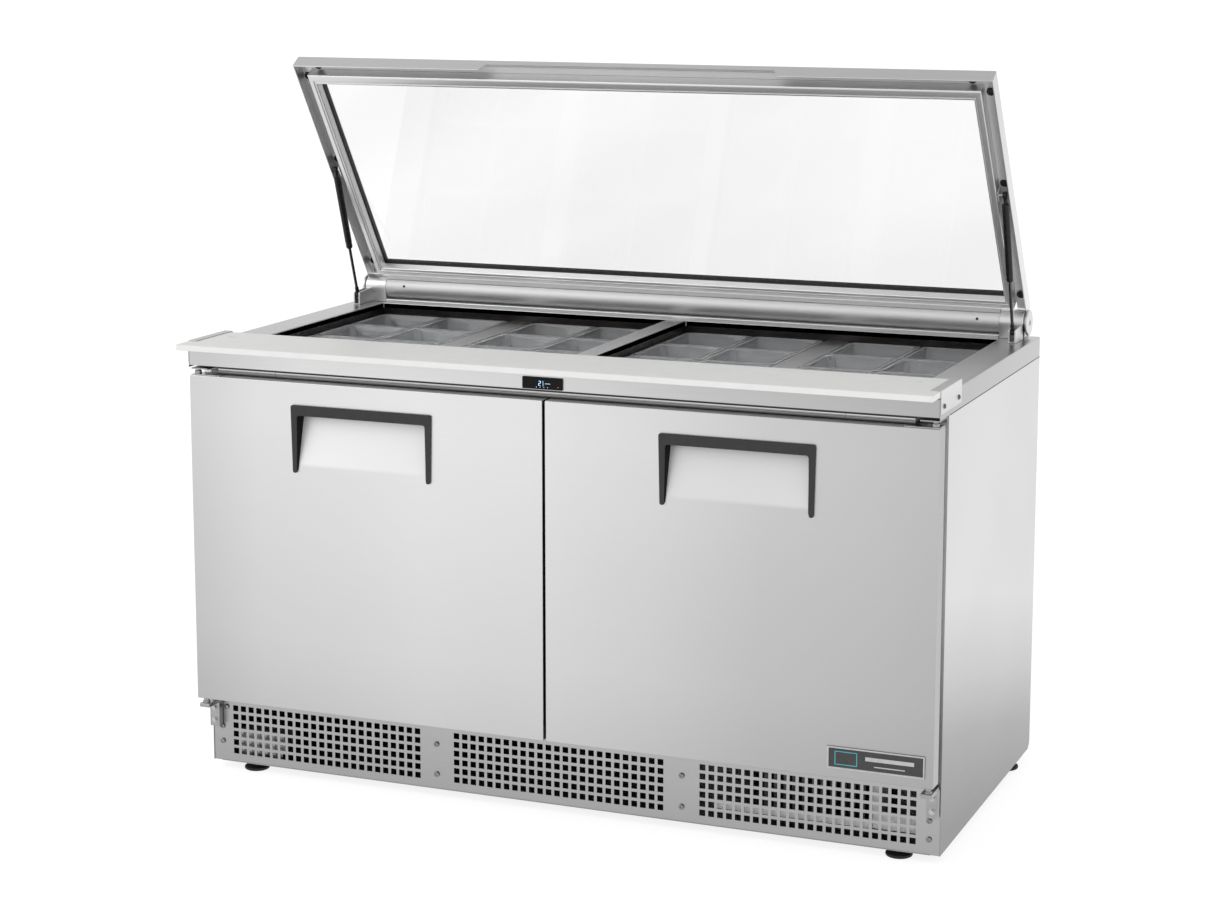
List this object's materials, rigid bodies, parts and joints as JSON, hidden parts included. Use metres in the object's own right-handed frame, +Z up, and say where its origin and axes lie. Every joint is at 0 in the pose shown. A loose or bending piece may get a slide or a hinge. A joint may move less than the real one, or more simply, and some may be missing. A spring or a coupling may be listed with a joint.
{
  "type": "sandwich prep table",
  "caption": "Refrigerated sandwich prep counter with two hinged doors, a full-width cutting board, drop-in food pans and a raised glass lid on gas springs.",
  "frame": {"origin": "on the floor under the middle of the object's box", "axes": "+X to the right as the user faces the doors, +Y towards the back, +Z up"},
  "size_m": [1.629, 0.8702, 1.5253],
  "materials": {
    "stainless": "brushed stainless sheet",
    "aluminium": "satin extruded",
    "galvanised": "galvanised sheet",
    "white_board": "fine matt, warm white",
    "dark_plastic": "satin dark grey",
    "black_rubber": "matt",
    "black_paint": "semi-gloss black",
    "black_gloss": "gloss black",
    "well_liner": "dark",
    "clear_plastic": "clear",
    "clear_glass": "clear float glass",
    "copper_fins": "finned coil",
    "white_liner": "white liner over foam"
  },
  "bodies": {
    "cabinet": {"side_panel_left": "stainless", "side_panel_right": "stainless", "back_panel": "galvanised", "insulated_cabinet": "white_liner", "worktop": "stainless", "front_fascia": "stainless", "controller": "black_gloss", "pan_well_left": "well_liner", "pan_well_right": "well_liner", "adapter_bar_left": "stainless", "adapter_bar_right": "stainless", "board_rail_left": "stainless", "board_rail_right": "stainless", "grille": "stainless", "base_pan": "galvanised", "compressor": "black_paint", "condenser": "copper_fins", "condenser_fan_motor": "black_paint", "evaporator_cover": "aluminium", "evaporator_coil": "copper_fins", "shelf_left_lower": "stainless", "shelf_left_upper": "stainless", "shelf_right_lower": "stainless", "shelf_right_upper": "stainless", "hinge_bottom_left": "stainless", "hinge_bottom_right": "stainless", "hinge_top_left": "stainless", "hinge_top_right": "stainless", "hinge_box_left": "stainless", "hinge_box_right": "stainless", "hinge_cap_left": "stainless", "hinge_cap_right": "stainless", "rear_sill": "stainless"},
    "lid": {"lid_channel": "aluminium", "lid_inner_frame": "aluminium", "lid_gasket": "black_rubber", "lid_glass": "clear_glass", "lid_tube": "aluminium"},
    "board": {"cutting_board": "white_board"},
    "condenser_fan_rotor": {"condenser_fan": "black_paint"},
    "evaporator_fan_rotor": {"evaporator_fan": "dark_plastic"},
    "strut_rod_left": {"strut_rod_left": "black_paint"},
    "strut_cylinder_left": {"strut_cylinder_left": "black_paint"},
    "strut_rod_right": {"strut_rod_right": "black_paint"},
    "strut_cylinder_right": {"strut_cylinder_right": "black_paint"},
    "door_left": {"door_left": "stainless", "handle_bezel_left": "dark_plastic", "door_gasket_left": "black_rubber"},
    "pans_left_outer": {"pan_set_left_outer": "clear_plastic"},
    "pans_left_inner": {"pan_set_left_inner": "clear_plastic"},
    "foot_front_left": {"foot_front_left": "black_rubber"},
    "foot_rear_left": {"foot_rear_left": "black_rubber"},
    "door_right": {"door_right": "stainless", "handle_bezel_right": "dark_plastic", "door_gasket_right": "black_rubber", "badge_plate": "black_gloss"},
    "pans_right_outer": {"pan_set_right_outer": "clear_plastic"},
    "pans_right_inner": {"pan_set_right_inner": "clear_plastic"},
    "foot_front_right": {"foot_front_right": "black_rubber"},
    "foot_rear_right": {"foot_rear_right": "black_rubber"}
  },
  "joints": [
    {"name": "lid_hinge", "type": "hinge", "parent": "cabinet", "child": "lid", "pos_m": [0, 0.406, 0.97], "axis": [-1, 0, 0], "range_deg": [-58.9, 0]},
    {"name": "strut_swing_left", "type": "hinge", "parent": "cabinet", "child": "strut_rod_left", "pos_m": [-0.7797, 0.322, 0.9605], "axis": [-1, 0, 0], "range_deg": [-71.18, 0.1]},
    {"name": "strut_stroke_left", "type": "slide", "parent": "strut_rod_left", "child": "strut_cylinder_left", "axis": [0, -0.3145, 0.9493], "range_m": [-0.05677, 0.0002]},
    {"name": "strut_swing_right", "type": "hinge", "parent": "cabinet", "child": "strut_rod_right", "pos_m": [0.7797, 0.322, 0.9605], "axis": [-1, 0, 0], "range_deg": [-71.18, 0.1]},
    {"name": "strut_stroke_right", "type": "slide", "parent": "strut_rod_right", "child": "strut_cylinder_right", "axis": [0, -0.3145, 0.9493], "range_m": [-0.05677, 0.0002]},
    {"name": "door_hinge_left", "type": "hinge", "parent": "cabinet", "child": "door_left", "pos_m": [-0.797, -0.36, 0.1732], "axis": [0, 0, -1], "range_deg": [0, 100]},
    {"name": "pans_lift_left_outer", "type": "slide", "parent": "cabinet", "child": "pans_left_outer", "axis": [0, 0, 1], "range_m": [0, 0.11]},
    {"name": "pans_lift_left_inner", "type": "slide", "parent": "cabinet", "child": "pans_left_inner", "axis": [0, 0, 1], "range_m": [0, 0.11]},
    {"name": "foot_screw_front_left", "type": "slide", "parent": "cabinet", "child": "foot_front_left", "axis": [0, 0, -1], "range_m": [0, 0.02]},
    {"name": "foot_screw_rear_left", "type": "slide", "parent": "cabinet", "child": "foot_rear_left", "axis": [0, 0, -1], "range_m": [0, 0.02]},
    {"name": "door_hinge_right", "type": "hinge", "parent": "cabinet", "child": "door_right", "pos_m": [0.797, -0.36, 0.1732], "axis": [0, 0, 1], "range_deg": [0, 100]},
    {"name": "pans_lift_right_outer", "type": "slide", "parent": "cabinet", "child": "pans_right_outer", "axis": [0, 0, 1], "range_m": [0, 0.11]},
    {"name": "pans_lift_right_inner", "type": "slide", "parent": "cabinet", "child": "pans_right_inner", "axis": [0, 0, 1], "range_m": [0, 0.11]},
    {"name": "foot_screw_front_right", "type": "slide", "parent": "cabinet", "child": "foot_front_right", "axis": [0, 0, -1], "range_m": [0, 0.02]},
    {"name": "foot_screw_rear_right", "type": "slide", "parent": "cabinet", "child": "foot_rear_right", "axis": [0, 0, -1], "range_m": [0, 0.02]},
    {"name": "board_lift", "type": "slide", "parent": "cabinet", "child": "board", "axis": [0, 0, 1], "range_m": [0, 0.1]},
    {"name": "condenser_fan_spin", "type": "hinge", "parent": "cabinet", "child": "condenser_fan_rotor", "pos_m": [0.56, -0.187, 0.092], "axis": [0, 1, 0], "continuous": true},
    {"name": "evaporator_fan_spin", "type": "hinge", "parent": "cabinet", "child": "evaporator_fan_rotor", "pos_m": [0.14, 0.318, 0.712], "axis": [0, 1, 0], "continuous": true}
  ],
  "couplings": [
    {"joint": "strut_swing_left", "follows": "lid_hinge", "ratio": 1.2068},
    {"joint": "strut_stroke_left", "follows": "lid_hinge", "m_per_rad": 0.055027},
    {"joint": "strut_swing_right", "follows": "lid_hinge", "ratio": 1.2068},
    {"joint": "strut_stroke_right", "follows": "lid_hinge", "m_per_rad": 0.055027}
  ]
}
